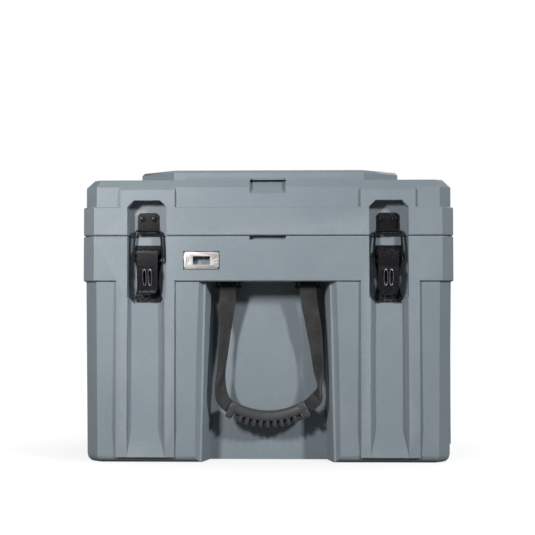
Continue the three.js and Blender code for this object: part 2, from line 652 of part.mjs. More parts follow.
// ---- tow handle: two webbing straps on pins, and a curved grip ----
const STRAP = { half: 12.5, loop: 5.6 };
const STRAP_PIN = { radius: 2.5, half: 20 };
const GRIP = { half: 62, endZ: 82, midZ: 63.5, height: 26, thickness: 20 };

function strapBracket(x) {
  const { y } = HANDLE_PIVOT;
  const plate = block(x - 22, x + 22, y - 6.5, y + 6.5, BAND_BOTTOM - 1, BAND_BOTTOM + 2);
  const cheek = (side) => prism('x', outline([
    [y - 6, BAND_BOTTOM], [y - 5, HANDLE_PIVOT.z - 4], [y + 5, HANDLE_PIVOT.z - 4], [y + 6, BAND_BOTTOM],
  ]), x + side * 17 - 1.5, x + side * 17 + 1.5);
  const bore = rod('x', STRAP_PIN.radius + GAP, x - 30, x + 30, y, HANDLE_PIVOT.z, 10);
  return cut(join(plate, cheek(-1), cheek(1)), bore);
}

// One side's webbing: a loop on the pin, a flat run down, a quarter twist and the end in the grip.
function strap(sign) {
  const { y: pinY, z: pinZ } = HANDLE_PIVOT;
  const middle = sign * STRAP_X;
  const loop = cut(
    rod('x', STRAP.loop, middle - STRAP.half, middle + STRAP.half, pinY, pinZ, 14),
    rod('x', STRAP_PIN.radius + GAP, middle - 20, middle + 20, pinY, pinZ, 10),
  );
  const stations = [
    { x: STRAP_X, z: 259.5, half: STRAP.half, y: -196, thick: 3 },
    { x: 68, z: 200, half: 11.5, y: -196, thick: 3 },
    { x: 74, z: 140, half: 9.5, y: -198, thick: 4 },
    { x: 76, z: 108, half: 6.5, y: -200, thick: 7 },
    { x: 72, z: 88, half: 9, y: -201, thick: 7 },
    { x: 63.6, z: 77.5, half: 9, y: -201, thick: 7 },
  ];
  let run = loop;
  for (let i = 0; i < stations.length - 1; i += 1) {
    const points = [];
    for (const { x, z, half, y, thick } of [stations[i], stations[i + 1]]) {
      const lean = x < 74 && z < 100 ? 0.7 : 0;
      for (const across of [-half, half]) {
        for (const through of [-thick / 2, thick / 2]) {
          points.push(v3(sign * (x + across * (1 - lean)), y + through, z + across * lean * 1.1));
        }
      }
    }
    run = join(run, hull(points));
  }
  return run;
}

// Curved grip: a smile-shaped bar, with finger slots along its lower edge.
function grip() {
  const steps = 10;
  const upper = [];
  const lower = [];
  for (let i = 0; i <= steps; i += 1) {
    const x = GRIP.half * (2 * i / steps - 1);
    const z = GRIP.midZ + (GRIP.endZ - GRIP.midZ) * (x / GRIP.half) ** 2;
    const slope = 2 * (GRIP.endZ - GRIP.midZ) * x / GRIP.half ** 2;
    const normal = Math.hypot(1, slope);
    const half = GRIP.height / 2;
    upper.push([x - (half * slope) / normal, z + half / normal]);
    lower.push([x + (half * slope) / normal, z - half / normal]);
  }
  const shape = outline([...lower, ...upper.reverse()]);
  const geometry = new THREE.ExtrudeGeometry(shape, {
    depth: GRIP.thickness - 10,
    bevelEnabled: true,
    bevelThickness: 5,
    bevelSize: 5,
    bevelOffset: -5,
    bevelSegments: 2,
  });
  const bar = solid(geometry.rotateX(Math.PI / 2).translate(0, -201 + GRIP.thickness / 2 - 5, 0));
  const slots = [];
  for (let i = 0; i < 8; i += 1) {
    const x = (i - 3.5) * 10;
    const z = GRIP.midZ + (GRIP.endZ - GRIP.midZ) * (x / GRIP.half) ** 2 - GRIP.height / 2;
    slots.push(block(x - 2, x + 2, -225, -205, z - 4, z + 12));
  }
  return cut(bar, ...slots);
}

for (const [side, sign] of [['left', -1], ['right', 1]]) {
  add(`strap_bracket_${side}`, strapBracket(sign * STRAP_X), 'blackSteel');
  const x = sign * STRAP_X;
  const { y: pinY, z: pinZ } = HANDLE_PIVOT;
  const pin = rod('x', STRAP_PIN.radius, x - STRAP_PIN.half, x + STRAP_PIN.half, pinY, pinZ, 10);
  add(`strap_pin_${side}`, pin, 'steel');
}
const gripSolid = grip();
for (const [side, sign] of [['left', -1], ['right', 1]]) {
  add(`strap_${side}`, cut(strap(sign), gripSolid), 'webbing');
}
add('handle_grip', gripSolid, 'grip');

// ---- wheels ----
const BEAD = 62;                    // radius where tyre and rim meet
const HUB = 18;

function wheelParts(sign) {
  const tyre = turnedX([
    [BEAD, WHEEL_IN + 2], [WHEEL_RADIUS - 5, WHEEL_IN], [WHEEL_RADIUS - 1, WHEEL_IN + 3],
    [WHEEL_RADIUS, WHEEL_IN + 10], [WHEEL_RADIUS, WHEEL_OUT - 10], [WHEEL_RADIUS - 1, WHEEL_OUT - 3],
    [WHEEL_RADIUS - 5, WHEEL_OUT], [BEAD, WHEEL_OUT - 2], [BEAD, WHEEL_IN + 2],
  ], WHEEL_Y, WHEEL_RADIUS, 40);
  const bore = AXLE_RADIUS + 0.5;
  const disc = turnedX([
    [bore, WHEEL_IN - 2], [HUB, WHEEL_IN - 2], [HUB, 232], [50, 236], [56, WHEEL_IN + 3],
    [BEAD - 0.4, WHEEL_IN + 3], [BEAD - 0.4, WHEEL_OUT - 3], [56, WHEEL_OUT - 3],
    [50, 244], [HUB, 250], [HUB, WHEEL_OUT - 2], [bore, WHEEL_OUT - 2], [bore, WHEEL_IN - 2],
  ], WHEEL_Y, WHEEL_RADIUS, 30);
  const windows = [];
  for (let i = 0; i < 6; i += 1) {
    const angle = (i * Math.PI) / 3;
    const y = WHEEL_Y + 35 * Math.cos(angle);
    windows.push(rod('x', 9, 210, 270, y, WHEEL_RADIUS + 35 * Math.sin(angle), 8));
  }
  const axle = join(
    rod('x', AXLE_RADIUS, AXLE_INNER, 269, WHEEL_Y, WHEEL_RADIUS, 16),
    rod('x', 9.2, WELL_BOSS.end + GAP, WELL_BOSS.end + 1.6, WHEEL_Y, WHEEL_RADIUS, 16),
  );
  const washer = cut(
    rod('x', 14, 262.8, 264.4, WHEEL_Y, WHEEL_RADIUS, 20),
    rod('x', AXLE_RADIUS + GAP, 260, 270, WHEEL_Y, WHEEL_RADIUS, 16),
  );
  const cap = cut(
    rod('x', 12, 264.8, 272, WHEEL_Y, WHEEL_RADIUS, 20),
    rod('x', AXLE_RADIUS + GAP, 260, 269.4, WHEEL_Y, WHEEL_RADIUS, 16),
  );
  const pieces = {
    tyre: [tyre, 'rubber'],
    wheel_rim: [cut(disc, ...windows), 'plastic'],
    axle: [axle, 'steel'],
    axle_washer: [washer, 'steel'],
    axle_cap: [cap, 'steel'],
  };
  const side = sign > 0 ? 'right' : 'left';
  for (const [name, [shape, finish]] of Object.entries(pieces)) {
    add(`${name}_${side}`, sign > 0 ? shape : mirrored(shape), finish);
  }
}
wheelParts(-1);
wheelParts(1);

// ---- drain, low on the right side ----
const drainBushing = cut(
  join(
    rod('x', 10.6, TUB.deepHalf - 1, 263, DRAIN_Y, DRAIN_Z, 16),
    rod('x', 18, 262.3, 264.6, DRAIN_Y, DRAIN_Z, 20),
  ),
  rod('x', 7.5, TUB.deepHalf - 10, 280, DRAIN_Y, DRAIN_Z, 14),
);
add('drain_bushing', drainBushing, 'plastic');
add('drain_seal', cut(
  rod('x', 15, 264.9, 266.4, DRAIN_Y, DRAIN_Z, 20),
  rod('x', 8.5, 260, 270, DRAIN_Y, DRAIN_Z, 14),
), 'rubber');

// The cap presses the seal and its skirt reaches over the bushing's flange.
const drainCap = join(
  rod('x', 20.5, 266.7, 273, DRAIN_Y, DRAIN_Z, 24),
  cut(
    rod('x', 20.5, 262.6, 267, DRAIN_Y, DRAIN_Z, 24),
    rod('x', 18.6, 262, 266.7, DRAIN_Y, DRAIN_Z, 24),
  ),
  block(272, 277, DRAIN_Y - 16, DRAIN_Y + 16, DRAIN_Z - 2.5, DRAIN_Z + 2.5),
);
add('drain_cap', drainCap, 'plastic');

export default cooler;
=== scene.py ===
import math

import bmesh
import bpy
from mathutils import Matrix, Vector
from mathutils.bvhtree import BVHTree


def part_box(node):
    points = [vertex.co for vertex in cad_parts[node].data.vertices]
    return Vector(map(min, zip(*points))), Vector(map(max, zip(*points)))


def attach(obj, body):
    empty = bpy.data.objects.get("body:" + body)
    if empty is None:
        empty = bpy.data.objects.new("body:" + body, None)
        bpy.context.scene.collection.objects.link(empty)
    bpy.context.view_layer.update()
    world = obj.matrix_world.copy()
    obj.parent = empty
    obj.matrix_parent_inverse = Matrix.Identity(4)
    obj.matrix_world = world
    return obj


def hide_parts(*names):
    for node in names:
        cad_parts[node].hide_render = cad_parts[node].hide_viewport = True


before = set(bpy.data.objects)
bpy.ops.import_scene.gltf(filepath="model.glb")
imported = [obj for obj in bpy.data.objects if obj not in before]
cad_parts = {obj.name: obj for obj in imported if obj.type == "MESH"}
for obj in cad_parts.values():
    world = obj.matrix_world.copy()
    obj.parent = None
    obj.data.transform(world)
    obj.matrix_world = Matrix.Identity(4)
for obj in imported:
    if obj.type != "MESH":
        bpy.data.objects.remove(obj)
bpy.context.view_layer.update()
scene = bpy.context.scene
mm = 0.001
sides = {"left": -1, "right": 1}
print("frame loaded:", len(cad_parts), "nodes")


# shader sums
class Wire:
    def __init__(self, tree, socket=None):
        self.tree = tree
        self.socket = socket

    # any node: its settings are set first, then the values or links of its sockets
    def node(self, kind, settings=None, sockets=None, out=0):
        made = self.tree.nodes.new(kind)
        for key, value in (settings or {}).items():
            if key == "stops":
                while len(made.color_ramp.elements) < len(value):
                    made.color_ramp.elements.new(1.0)
                for element, (place, colour) in zip(made.color_ramp.elements, value):
                    element.position = place
                    element.color = colour
            else:
                setattr(made, key, value)
        for key, value in (sockets or {}).items():
            if isinstance(value, Wire):
                self.tree.links.new(value.socket, made.inputs[key])
            else:
                made.inputs[key].default_value = value
        return Wire(self.tree, made.outputs[out] if len(made.outputs) else None)

    def sums(self, operation, first, second):
        return self.node("ShaderNodeMath", {"operation": operation}, {0: first, 1: second})

    def __add__(self, other):
        return self.sums("ADD", self, other)

    def __radd__(self, other):
        return self.sums("ADD", other, self)

    def __sub__(self, other):
        return self.sums("SUBTRACT", self, other)

    def __rsub__(self, other):
        return self.sums("SUBTRACT", other, self)

    def __mul__(self, other):
        return self.sums("MULTIPLY", self, other)

    def __rmul__(self, other):
        return self.sums("MULTIPLY", other, self)

    def __truediv__(self, other):
        return self.sums("DIVIDE", self, other)

    def __pow__(self, other):
        return self.sums("POWER", self, other)

    def clamped(self, low, high):
        return self.node("ShaderNodeMapRange", {"clamp": True}, {0: self, 1: low, 2: high})


def newMaterial(name, constants):
    material = bpy.data.materials.new(name)
    material.use_nodes = True
    tree = material.node_tree
    shader = tree.nodes["Principled BSDF"]
    for key, value in constants.items():
        shader.inputs[key].default_value = value
    return material, Wire(tree), shader


def feed(material, shader, links):
    for key, wire in links.items():
        material.node_tree.links.new(wire.socket, shader.inputs[key])


def objectPlace(wire, scale=(1, 1, 1)):
    place = wire.node("ShaderNodeTexCoord", out=3)
    return wire.node("ShaderNodeMapping", None, {"Vector": place, "Scale": scale})


def noise(wire, place, scale, detail=3.0, roughness=0.5):
    sockets = {"Vector": place, "Scale": scale, "Detail": detail, "Roughness": roughness}
    return wire.node("ShaderNodeTexNoise", None, sockets)


def mixColour(wire, factor, first, second):
    return wire.node("ShaderNodeMix", {"data_type": "RGBA"}, {0: factor, 6: first, 7: second}, out=2)


def bump(wire, height, strength, distance):
    return wire.node("ShaderNodeBump", None, {"Height": height, "Strength": strength, "Distance": distance})


# finishes
mouldedLook = {
    "colour": (0.205, 0.242, 0.270, 1),
    "pale": (0.255, 0.292, 0.320, 1),
    # pale grey used for flecks, seam scuffs and the lighter convex edges; the edges are partly rubbed wear
    # and partly a painted highlight
    "scuff_and_highlight": (0.42, 0.46, 0.49, 1),
    "roughness": 0.46,
    "seam": 0.3405,
}


def mouldedPlastic():
    material, wire, shader = newMaterial("moulded plastic", {"Specular IOR Level": 0.42})
    place = objectPlace(wire)
    mottle = noise(wire, place, 9.0, 4.0, 0.6)
    fleck = noise(wire, place, 420.0, 2.0, 0.6)
    grain = noise(wire, place, 1500.0, 2.0, 0.55)
    peel = noise(wire, place, 260.0, 2.0, 0.5)
    base = mixColour(wire, (mottle - 0.35) * 1.3, mouldedLook["colour"], mouldedLook["pale"])
    base = mixColour(wire, fleck.clamped(0.52, 0.80) * 0.16, base, mouldedLook["scuff_and_highlight"])
    height = wire.node("ShaderNodeSeparateXYZ", None, {0: wire.node("ShaderNodeTexCoord", out=3)}, out=2)
    nearSeam = 1 - ((height - mouldedLook["seam"]) ** 2 / 0.0004).clamped(0.0, 1.0)
    streak = noise(wire, objectPlace(wire, (14, 14, 160)), 6.0, 3.0, 0.6).clamped(0.60, 0.74)
    # convex edges picked by pointiness are lightened: partly rubbed wear, partly a painted highlight along
    # edges that catch the light
    edge = wire.node("ShaderNodeNewGeometry", out=7).clamped(0.51, 0.58)
    edge_wear_and_highlight = noise(wire, place, 90.0, 3.0, 0.6).clamped(0.30, 0.80)
    scuffs_and_edge_highlight = (streak * nearSeam * 0.20 + edge * (0.10 + edge_wear_and_highlight * 0.16)).clamped(0.0, 1.0)
    base = mixColour(wire, scuffs_and_edge_highlight, base, mouldedLook["scuff_and_highlight"])
    rough = mouldedLook["roughness"] + (mottle - 0.5) * 0.12 + (fleck - 0.5) * 0.10 + scuffs_and_edge_highlight * 0.15
    skin = bump(wire, grain * 0.45 + peel * 0.55, 0.24, 0.0004)
    feed(material, shader, {"Base Color": base, "Roughness": rough, "Normal": skin})
    return material


def powderCoat():
    material, wire, shader = newMaterial("black powder coat", {"Specular IOR Level": 0.32})
    place = objectPlace(wire)
    speckle = noise(wire, place, 2600.0, 2.0, 0.6)
    wear = wire.node("ShaderNodeNewGeometry", out=7).clamped(0.53, 0.62)
    worn = wear * noise(wire, place, 240.0).clamped(0.45, 0.65) * 0.55
    base = mixColour(wire, speckle.clamped(0.40, 0.75), (0.008, 0.008, 0.009, 1), (0.021, 0.021, 0.024, 1))
    base = mixColour(wire, worn, base, (0.22, 0.22, 0.23, 1))
    rough = 0.25 + (speckle - 0.5) * 0.20 - worn * 0.06
    feed(material, shader, {
        "Base Color": base,
        "Roughness": rough,
        "Metallic": worn,
        "Normal": bump(wire, speckle, 0.22, 0.00015),
    })
    return material


def brushedSteel(name, colour, roughness, along):
    material, wire, shader = newMaterial(name, {"Metallic": 1.0})
    lines = noise(wire, objectPlace(wire, along), 1.0, 3.0, 0.7)
    blotch = noise(wire, objectPlace(wire), 160.0, 3.0, 0.6)
    dark = tuple(part * 0.62 for part in colour[:3]) + (1,)
    base = mixColour(wire, lines.clamped(0.30, 0.62), dark, colour)
    rough = roughness + (lines - 0.5) * 0.30 + (blotch - 0.5) * 0.20
    feed(material, shader, {
        "Base Color": base, "Roughness": rough.clamped(0.0, 1.0), "Normal": bump(wire, lines, 0.30, 0.0001),
    })
    return material


def webbingCloth():
    material, wire, shader = newMaterial("webbing", {"Specular IOR Level": 0.25, "Sheen Weight": 0.35})
    spot = wire.node("ShaderNodeUVMap", {"uv_map": "weave"})
    across = wire.node("ShaderNodeSeparateXYZ", None, {0: spot}, out=0)
    along = wire.node("ShaderNodeSeparateXYZ", None, {0: spot}, out=1)
    warp = wire.sums("SINE", across * 2 * math.pi * 12, 0.0)
    weft = wire.sums("SINE", along * 2 * math.pi * 1.0 + across * 2 * math.pi * 6, 0.0)
    cord = warp * 0.5 + 0.5
    pick = weft * 0.5 + 0.5
    place = objectPlace(wire)
    fuzz = noise(wire, place, 1800.0, 3.0, 0.7)
    fade = noise(wire, place, 38.0, 3.0, 0.6)
    thread = (cord * 0.5 + pick * 0.5).clamped(0.10, 0.95)
    shade = thread * 0.75 + (fuzz - 0.5) * 0.5
    base = mixColour(wire, shade, (0.007, 0.007, 0.0075, 1), (0.056, 0.055, 0.055, 1))
    base = mixColour(wire, (fade - 0.42) * 1.3, base, (0.092, 0.090, 0.088, 1))
    rough = 0.82 + (fuzz - 0.5) * 0.2
    relief = bump(wire, cord * 0.45 + pick * 0.40 + fuzz * 0.25, 0.75, 0.0006)
    feed(material, shader, {"Base Color": base, "Roughness": rough, "Normal": relief})
    return material


def softGrip():
    material, wire, shader = newMaterial("grip rubber", {"Specular IOR Level": 0.45})
    place = objectPlace(wire)
    grain = noise(wire, place, 1300.0, 2.0, 0.6)
    cloud = noise(wire, place, 45.0, 3.0, 0.55)
    # convex edges picked by pointiness are lightened: a painted sheen where the grip's edges catch the
    # light
    dust_and_sheen = wire.node("ShaderNodeNewGeometry", out=7).clamped(0.50, 0.60)
    shade = cloud * 0.6 + (grain - 0.5) * 0.5
    base = mixColour(wire, shade, (0.036, 0.037, 0.040, 1), (0.066, 0.067, 0.069, 1))
    base = mixColour(wire, dust_and_sheen * 0.25, base, (0.17, 0.17, 0.17, 1))
    rough = 0.44 + (cloud - 0.5) * 0.2 + (grain - 0.5) * 0.12
    relief = bump(wire, grain, 0.30, 0.0002)
    feed(material, shader, {"Base Color": base, "Roughness": rough, "Normal": relief})
    return material


def tyreRubber():
    material, wire, shader = newMaterial("tyre rubber", {"Specular IOR Level": 0.30})
    place = objectPlace(wire)
    grain = noise(wire, place, 700.0, 3.0, 0.6)
    # pale dust patches by noise on the tyre, with no painted sheen here
    dust_and_sheen = noise(wire, place, 30.0, 4.0, 0.65).clamped(0.45, 0.75)
    base = mixColour(wire, grain, (0.014, 0.014, 0.015, 1), (0.032, 0.031, 0.031, 1))
    base = mixColour(wire, dust_and_sheen * 0.22, base, (0.16, 0.15, 0.135, 1))
    rough = 0.72 + (grain - 0.5) * 0.2 + dust_and_sheen * 0.1
    relief = bump(wire, grain, 0.35, 0.0004)
    feed(material, shader, {"Base Color": base, "Roughness": rough, "Normal": relief})
    return material


def blackPlastic():
    material, wire, shader = newMaterial("black plastic", {"Specular IOR Level": 0.45})
    place = objectPlace(wire)
    grain = noise(wire, place, 1100.0, 2.0, 0.6)
    cloud = noise(wire, place, 20.0, 3.0, 0.6)
    shade = cloud * 0.7 + (grain - 0.5) * 0.6
    base = mixColour(wire, shade, (0.017, 0.018, 0.020, 1), (0.038, 0.040, 0.043, 1))
    rough = 0.42 + (cloud - 0.5) * 0.18 + (grain - 0.5) * 0.14
    relief = bump(wire, grain, 0.25, 0.0002)
    feed(material, shader, {"Base Color": base, "Roughness": rough, "Normal": relief})
    return material


def paleFoam():
    material, wire, shader = newMaterial("rigid foam", {"Specular IOR Level": 0.2})
    cells = noise(wire, objectPlace(wire), 900.0, 3.0, 0.7)
    base = mixColour(wire, cells, (0.62, 0.54, 0.34, 1), (0.84, 0.77, 0.56, 1))
    rough = 0.85 + (cells - 0.5) * 0.2
    relief = bump(wire, cells, 0.5, 0.0005)
    feed(material, shader, {"Base Color": base, "Roughness": rough, "Normal": relief})
    return material


finish = {
    "shell": mouldedPlastic(),
    "blackSteel": powderCoat(),
    "plate": brushedSteel("brushed stainless", (0.58, 0.55, 0.535, 1), 0.50, (60, 900, 2600)),
    "zinc": brushedSteel("zinc plated steel", (0.60, 0.60, 0.62, 1), 0.30, (900, 900, 900)),
    "webbing": webbingCloth(),
    "grip": softGrip(),
    "tyre": tyreRubber(),
    "plastic": blackPlastic(),
    "foam": paleFoam(),
}
print("finishes made:", len(finish))


# mesh helpers
def makePiece(name, bm, material, body, stands=()):
    mesh = bpy.data.meshes.new(name)
    bm.to_mesh(mesh)
    bm.free()
    mesh.materials.append(material)
    piece = bpy.data.objects.new(name, mesh)
    scene.collection.objects.link(piece)
    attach(piece, body)
    if stands:
        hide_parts(*stands)
    return piece


def smooth(bm, degrees=35):
    for face in bm.faces:
        face.smooth = True
    for edge in bm.edges:
        if len(edge.link_faces) == 2 and edge.calc_face_angle(0) > math.radians(degrees):
            edge.smooth = False


def fromCad(node):
    bm = bmesh.new()
    bm.from_mesh(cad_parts[node].data)
    bmesh.ops.remove_doubles(bm, verts=bm.verts, dist=0.00002)
    bmesh.ops.dissolve_limit(bm, angle_limit=math.radians(0.6), verts=bm.verts, edges=bm.edges)
    return bm


def roundEdges(bm, width, segments=3, degrees=30, shortest=2.2):
    picked = []
    for edge in bm.edges:
        if len(edge.link_faces) != 2 or edge.calc_face_angle(0) < math.radians(degrees):
            continue
        if edge.calc_length() < width * shortest:
            continue
        picked.append(edge)
    bmesh.ops.bevel(
        bm, geom=picked, offset=width, offset_type="OFFSET", affect="EDGES", segments=segments,
        profile=0.5, material=-1, clamp_overlap=True, loop_slide=True,
    )


def evenShading(piece):
    normals = piece.modifiers.new("even shading", "WEIGHTED_NORMAL")
    normals.keep_sharp = True
    return piece


# where a line straight back from in front of a node meets it
def frontOf(node, x, z):
    bm = bmesh.new()
    bm.from_mesh(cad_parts[node].data)
    met = BVHTree.FromBMesh(bm).ray_cast(Vector((x, -1, z)), Vector((0, 1, 0)))
    bm.free()
    return met[0].y


def box(bm, low, high):
    centre = (Vector(low) + Vector(high)) / 2
    size = Vector(high) - Vector(low)
    place = Matrix.Translation(centre) @ Matrix.Diagonal((*size, 1))
    return bmesh.ops.create_cube(bm, size=1, matrix=place)["verts"]


def spun(bm, profile, centre, axis, steps, closed=True):
    points = [bm.verts.new(point) for point in profile]
    edges = [bm.edges.new(pair) for pair in zip(points, points[1:])]
    if closed:
        edges.append(bm.edges.new((points[-1], points[0])))
    bmesh.ops.spin(
        bm, geom=points + edges, cent=centre, axis=axis, angle=2 * math.pi, steps=steps, use_merge=True,
    )
    bmesh.ops.remove_doubles(bm, verts=bm.verts, dist=0.000005)
    bmesh.ops.recalc_face_normals(bm, faces=bm.faces)


# body and lid
shellEdges = {"body": 0.0028, "lid": 0.0028, "segments": 3}


def shellPiece(name, node, body, width):
    bm = fromCad(node)
    roundEdges(bm, width, shellEdges["segments"])
    smooth(bm, 40)
    return evenShading(makePiece(name, bm, finish["shell"], body, [node]))


shellPiece("chest_body", "body_shell", "root", shellEdges["body"])
shellPiece("chest_lid", "lid_shell", "lid", shellEdges["lid"])
print("body and lid made")

# carried-over nodes and simply rounded ones
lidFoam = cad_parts["lid_foam"].data
lidFoam.materials.clear()
lidFoam.materials.append(finish["foam"])

plainRounds = {
    "foam_plug_left": ("root", "shell", "shell", 0.0008),
    "foam_plug_right": ("root", "shell", "shell", 0.0008),
    "lid_foam_plug": ("lid", "shell", "shell", 0.0008),
    "lid_gasket": ("lid", "plastic", "seal", 0.0012),
    "drain_bushing": ("root", "plastic", "black_plastic", 0.0006),
    "drain_seal": ("root", "tyre", "seal", 0.0004),
}
for side in sides:
    plainRounds[f"hinge_body_leaf_{side}"] = ("root", "blackSteel", "black_steel", 0.0006)
    plainRounds[f"hinge_lid_leaf_{side}"] = ("lid", "blackSteel", "black_steel", 0.0006)
    plainRounds[f"hinge_pin_{side}"] = ("root", "zinc", "steel", 0.0005)
    plainRounds[f"latch_base_{side}"] = ("root", "blackSteel", "black_steel", 0.0005)
    plainRounds[f"latch_keeper_{side}"] = ("lid", "blackSteel", "black_steel", 0.0005)
    plainRounds[f"latch_pin_{side}"] = ("root", "blackSteel", "steel", 0.0004)
    plainRounds[f"strap_bracket_{side}"] = ("root", "blackSteel", "black_steel", 0.0005)
    plainRounds[f"strap_pin_{side}"] = ("root", "blackSteel", "steel", 0.0005)
    plainRounds[f"axle_{side}"] = ("root", "zinc", "steel", 0.0006)
    plainRounds[f"axle_washer_{side}"] = ("root", "zinc", "steel", 0.0003)
    plainRounds[f"axle_cap_{side}"] = ("root", "zinc", "steel", 0.0015)
for node, (body, look, slotName, width) in plainRounds.items():
    bm = fromCad(node)
    roundEdges(bm, width, 2)
    smooth(bm, 40)
    evenShading(makePiece(f"{node}_detailed", bm, finish[look], body, [node]))
print("rounded pieces made:", len(plainRounds))

# screws and rivets
screwLook = {
    "rings": 5,
    "round": 28,
    "rise": 0.0022,
    "shank": 0.008,
    "reach": 0.58,
    "half": 0.16,
    "depth": 0.55,
}


# the tool's shape is taken out of the piece for good
def carve(piece, tool, name):
    bmesh.ops.recalc_face_normals(tool, faces=tool.faces)
    mesh = bpy.data.meshes.new(name)
    tool.to_mesh(mesh)
    tool.free()
    cutter = bpy.data.objects.new(name, mesh)
    scene.collection.objects.link(cutter)
    cut = piece.modifiers.new(name, "BOOLEAN")
    cut.object = cutter
    cut.solver = "EXACT"
    cut.use_self = True
    bpy.context.view_layer.update()
    shaped = piece.evaluated_get(bpy.context.evaluated_depsgraph_get())
    carved = bpy.data.meshes.new_from_object(shaped)
    piece.modifiers.clear()
    piece.data = carved
    bpy.data.objects.remove(cutter)


def panHead(node, body, look, facing):
    low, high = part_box(node)
    centre = (low + high) / 2
    radius = (high.x - low.x) / 2
    rise = screwLook["rise"]
    seat = low.y + rise if facing < 0 else high.y - rise
    shank = radius * 0.45
    profile = [(0.0, -screwLook["shank"]), (shank, -screwLook["shank"]), (shank, 0.0), (radius, 0.0)]
    for i in range(screwLook["rings"]):
        turn = math.pi / 2 * i / screwLook["rings"]
        profile.append((radius * (0.6 + 0.4 * math.cos(turn)), rise * (0.35 + 0.65 * math.sin(turn))))
    profile.append((0.0, rise))
    bm = bmesh.new()
    points = [(centre.x + r, seat + facing * out, centre.z) for r, out in profile]
    spun(bm, points, centre, (0, 1, 0), screwLook["round"], closed=False)
    smooth(bm, 40)
    head = makePiece(f"{node}_head", bm, finish[look], body, [node])
    tool = bmesh.new()
    reach = radius * screwLook["reach"]
    half = radius * screwLook["half"]
    ends = sorted((seat + facing * (rise + 0.002), seat + facing * rise * (1 - screwLook["depth"])))
    for wide, tall in ((reach, half), (half, reach)):
        first = (centre.x - wide, ends[0], centre.z - tall)
        second = (centre.x + wide, ends[1], centre.z + tall)
        box(tool, first, second)
    turned = Matrix.Rotation(math.radians(38), 3, "Y")
    bmesh.ops.rotate(tool, verts=tool.verts, cent=centre, matrix=turned)
    carve(head, tool, "cross recess")


for side in sides:
    for place in ("a", "b"):
        panHead(f"keeper_screw_{side}_{place}", "lid", "blackSteel", -1)
        panHead(f"hinge_body_screw_{side}_{place}", "root", "zinc", 1)
        panHead(f"hinge_lid_screw_{side}_{place}", "lid", "zinc", 1)
print("screws made")

# latches
latchLook = {
    "wire": 0.00175,
    "dimple": 0.0011,
    "leverEdge": 0.0004,
    "loopApart": 0.0042,
    "loopWide": 0.0027,
    "loopTall": 0.0122,
    "loopMiddle": 0.2780,
    "loopWire": 0.0006,
    "loopKnots": 25,
}


def latchLever(side):
    bm = fromCad(f"latch_lever_{side}")
    roundEdges(bm, latchLook["leverEdge"], 2, 32, 1.5)
    smooth(bm, 35)
    node = f"latch_lever_{side}"
    piece = makePiece(f"{node}_pressed", bm, finish["blackSteel"], f"lever_{side}", [node])
    evenShading(piece)


def leverDimples(side):
    node = f"latch_lever_{side}"
    low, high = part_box(node)
    middle = (low.x + high.x) / 2
    bm = bmesh.new()
    for column in (-1, 1):
        for row in range(3):
            x = middle + column * (0.0072 - 0.0004 * row)
            z = 0.2575 + row * 0.0052
            flat = Matrix.Translation((x, frontOf(node, x, z), z)) @ Matrix.Diagonal((1, 0.45, 1, 1))
            bmesh.ops.create_uvsphere(
                bm, u_segments=14, v_segments=8, radius=latchLook["dimple"], matrix=flat,
            )
    smooth(bm)
    makePiece(f"latch_rivets_{side}", bm, finish["blackSteel"], f"lever_{side}")


def latchLoops(side):
    # a small raised wire loop round each of the lever's two slots
    node = f"latch_lever_{side}"
    low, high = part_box(node)
    middle = (low.x + high.x) / 2
    bm = bmesh.new()
    for column in (-1, 1):
        x = middle + column * latchLook["loopApart"]
        knots = []
        for i in range(latchLook["loopKnots"]):
            turn = 2 * math.pi * i / (latchLook["loopKnots"] - 1)
            away = x + latchLook["loopWide"] * math.sin(turn)
            rise = math.cos(turn) * (1.25 - 0.25 * math.cos(turn) ** 2)
            up = latchLook["loopMiddle"] + latchLook["loopTall"] * rise
            knots.append(Vector((away, frontOf(node, middle, up) - 0.0002, up)))
        tubeAlong(bm, knots, latchLook["loopWire"], 8)
    smooth(bm, 50)
    makePiece(f"latch_loops_{side}", bm, finish["zinc"], f"lever_{side}")


def tubeAlong(bm, points, radius, around=14, closed=False):
    # a ring is made at the first point and carried along the path
    rings = []
    for i, point in enumerate(points):
        ahead = points[min(i + 1, len(points) - 1)] - points[max(i - 1, 0)]
        turn = ahead.to_track_quat("Z", "Y").to_matrix().to_4x4()
        ring = bmesh.ops.create_circle(
            bm, cap_ends=i in (0, len(points) - 1), segments=around, radius=radius,
            matrix=Matrix.Translation(point) @ turn,
        )["verts"]
        rings.append(ring)
    for first, second in zip(rings, rings[1:]):
        edges = [edge for edge in bm.edges if edge.verts[0] in first and edge.verts[1] in first]
        edges += [edge for edge in bm.edges if edge.verts[0] in second and edge.verts[1] in second]
        bmesh.ops.bridge_loops(bm, edges=edges)
    bmesh.ops.recalc_face_normals(bm, faces=bm.faces)


def curvePoints(knots, each):
    # a smooth line through the given knots
    made = []
    padded = [knots[0] * 2 - knots[1], *knots, knots[-1] * 2 - knots[-2]]
    for i in range(1, len(padded) - 2):
        a, b, c, d = padded[i - 1:i + 3]
        for step in range(each):
            t = step / each
            bend = (2 * a - 5 * b + 4 * c - d) * t * t + (3 * b - a - 3 * c + d) * t ** 3
            made.append(0.5 * (2 * b + (c - a) * t + bend))
    made.append(knots[-1].copy())
    return made


